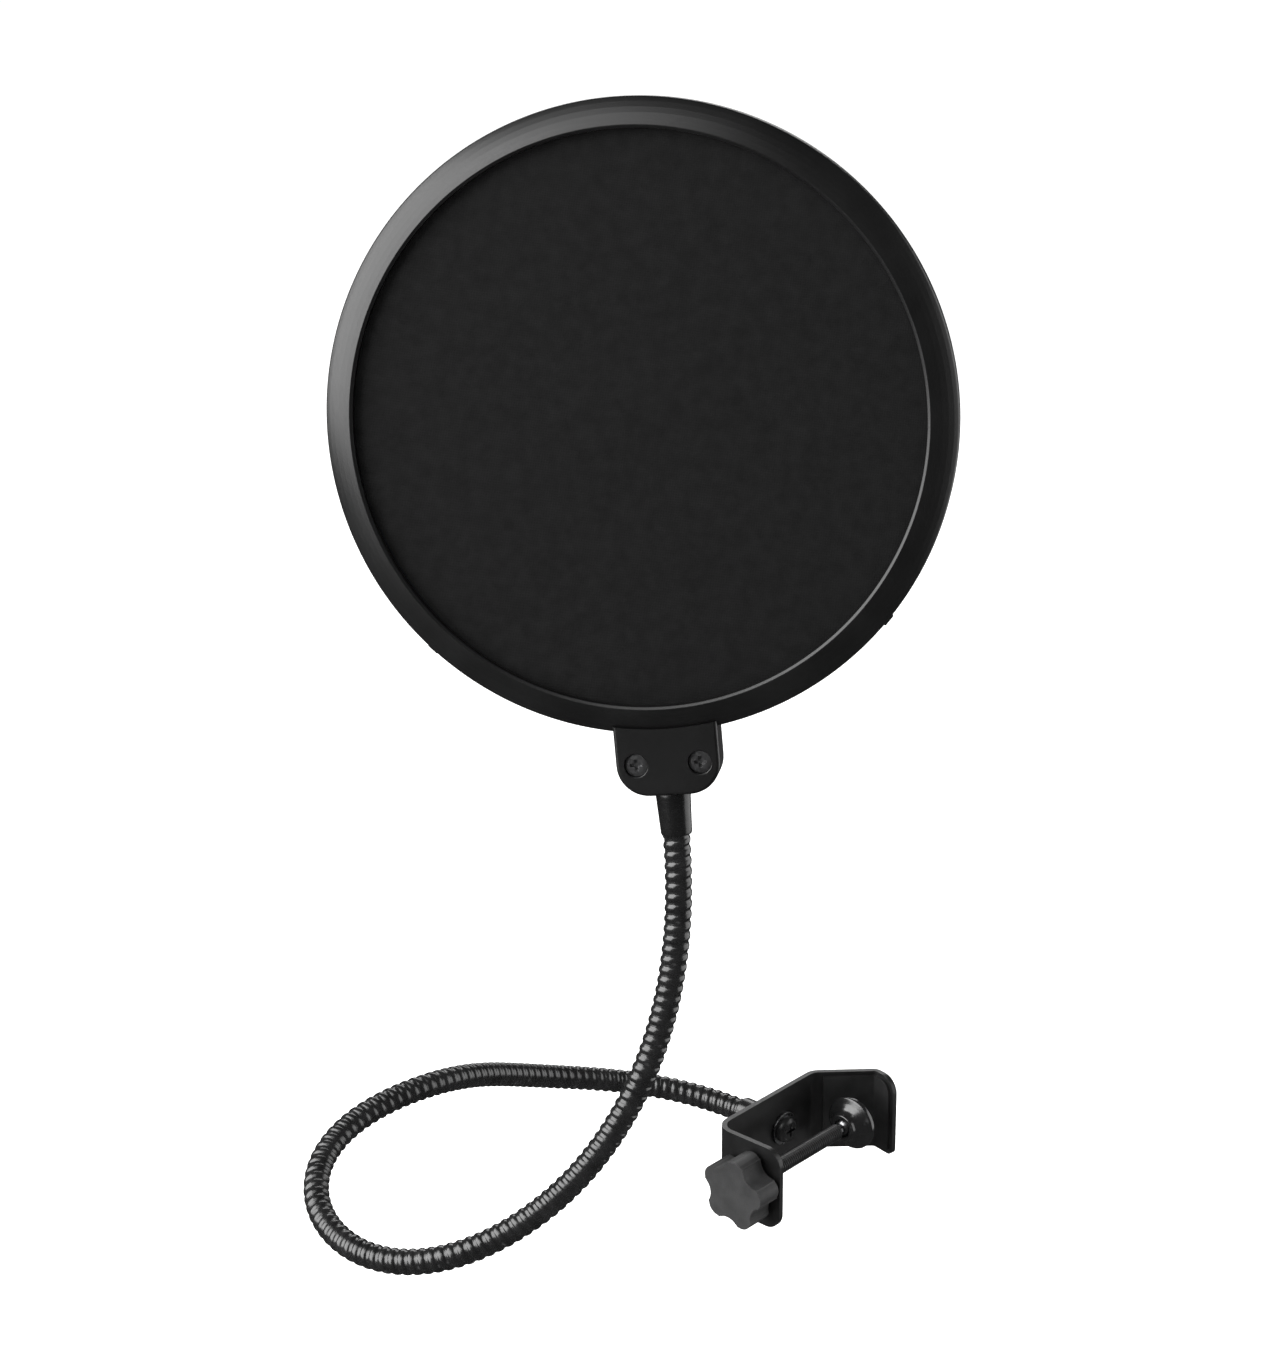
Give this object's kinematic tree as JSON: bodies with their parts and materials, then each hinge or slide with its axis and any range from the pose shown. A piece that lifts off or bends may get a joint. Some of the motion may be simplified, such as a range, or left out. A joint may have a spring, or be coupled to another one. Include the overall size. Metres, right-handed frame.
{
  "type": "pop filter",
  "caption": "Round double-screen pop filter for a microphone on a bendable ribbed gooseneck, with a screw clamp for a stand or boom tube.",
  "frame": {"origin": "valley of the clamp's V jaw, at mid height of the strip, on the clamp screw's axis", "axes": "+X along the clamp screw from the knob to the V jaw, +Y out of the clamp's back, +Z along the gripped tube, towards the hoop"},
  "size_m": [0.1728, 0.1446, 0.3209],
  "materials": {
    "black_steel": "satin black coat",
    "dark_steel": "black oxide",
    "bright_steel": "plain zinc",
    "hose_steel": "semi-gloss black, ribbed",
    "sleeve_gloss": "gloss black",
    "ring_plastic": "satin black moulding",
    "knob_plastic": "matt dark grey moulding",
    "brass_insert": "plain",
    "liner_rubber": "matt",
    "screen_fabric": "fine open weave, stretched"
  },
  "bodies": {
    "clamp": {"clamp_bracket": "black_steel", "clamp_nut": "black_steel", "jaw_liner": "liner_rubber"},
    "neck_foot": {"neck_screw": "dark_steel", "neck_washer": "bright_steel", "lower_ferrule": "hose_steel", "gooseneck_1": "hose_steel"},
    "neck_2": {"gooseneck_2": "hose_steel"},
    "neck_3": {"gooseneck_3": "hose_steel"},
    "neck_4": {"gooseneck_4": "hose_steel"},
    "neck_5": {"gooseneck_5": "hose_steel"},
    "neck_6": {"gooseneck_6": "hose_steel"},
    "neck_7": {"gooseneck_7": "hose_steel"},
    "hoop": {"gooseneck_8": "hose_steel", "upper_sleeve": "sleeve_gloss", "neck_tongue": "bright_steel", "front_ring": "ring_plastic", "rear_ring": "ring_plastic", "spacer_ring": "ring_plastic", "front_screen": "screen_fabric", "rear_screen": "screen_fabric", "tab_screws": "dark_steel"},
    "screw_end": {"ball_tip": "bright_steel"},
    "screw": {"clamp_screw": "dark_steel", "knob_insert": "brass_insert", "knob": "knob_plastic"},
    "pad": {"swivel_pad": "black_steel", "pad_face": "liner_rubber"}
  },
  "joints": [
    {"name": "neck_swivel", "type": "hinge", "parent": "clamp", "child": "neck_foot", "pos_m": [-0.02671, 0.01466, 0], "axis": [0, 1, 0], "range_deg": [-180, 180]},
    {"name": "neck_bend_1", "type": "hinge", "parent": "neck_foot", "child": "neck_2", "pos_m": [-0.04872, 0.06459, 0.00644], "axis": [0.3881, 0.2697, 0.8812], "range_deg": [-35, 35]},
    {"name": "neck_bend_2", "type": "hinge", "parent": "neck_2", "child": "neck_3", "pos_m": [-0.08951, 0.07058, 0.02257], "axis": [-0.4512, 0.5493, -0.7033], "range_deg": [-35, 35]},
    {"name": "neck_bend_3", "type": "hinge", "parent": "neck_3", "child": "neck_4", "pos_m": [-0.13281, 0.07373, 0.02773], "axis": [-0.2818, -0.173, 0.9437], "range_deg": [-45, 10]},
    {"name": "neck_bend_4", "type": "hinge", "parent": "neck_4", "child": "neck_5", "pos_m": [-0.16645, 0.05544, 0.01433], "axis": [-0.5319, -0.0798, 0.843], "range_deg": [-45, 10]},
    {"name": "neck_bend_5", "type": "hinge", "parent": "neck_5", "child": "neck_6", "pos_m": [-0.15577, 0.01458, 0.0172], "axis": [0.2103, -0.2959, -0.9318], "range_deg": [-35, 35]},
    {"name": "neck_bend_6", "type": "hinge", "parent": "neck_6", "child": "neck_7", "pos_m": [-0.13015, -0.00948, 0.04427], "axis": [-0.7932, -0.5897, 0.1517], "range_deg": [-35, 30]},
    {"name": "neck_bend_7", "type": "hinge", "parent": "neck_7", "child": "hoop", "pos_m": [-0.11465, -0.01988, 0.08488], "axis": [-0.5466, 0.8146, 0.1939], "range_deg": [-35, 35]},
    {"name": "screw_travel", "type": "slide", "parent": "clamp", "child": "screw_end", "axis": [1, 0, 0], "range_m": [-0.0331, 0.0006]},
    {"name": "knob_turn", "type": "hinge", "parent": "screw_end", "child": "screw", "pos_m": [-0.01391, 0, 0], "axis": [1, 0, 0], "range_deg": [-14850, 225]},
    {"name": "pad_tilt", "type": "hinge", "parent": "screw_end", "child": "pad", "pos_m": [-0.01391, 0, 0], "axis": [0, 0, 1], "range_deg": [-8, 8]}
  ],
  "couplings": [
    {"joint": "screw_travel", "follows": "knob_turn", "m_per_rad": 0.00012732}
  ]
}
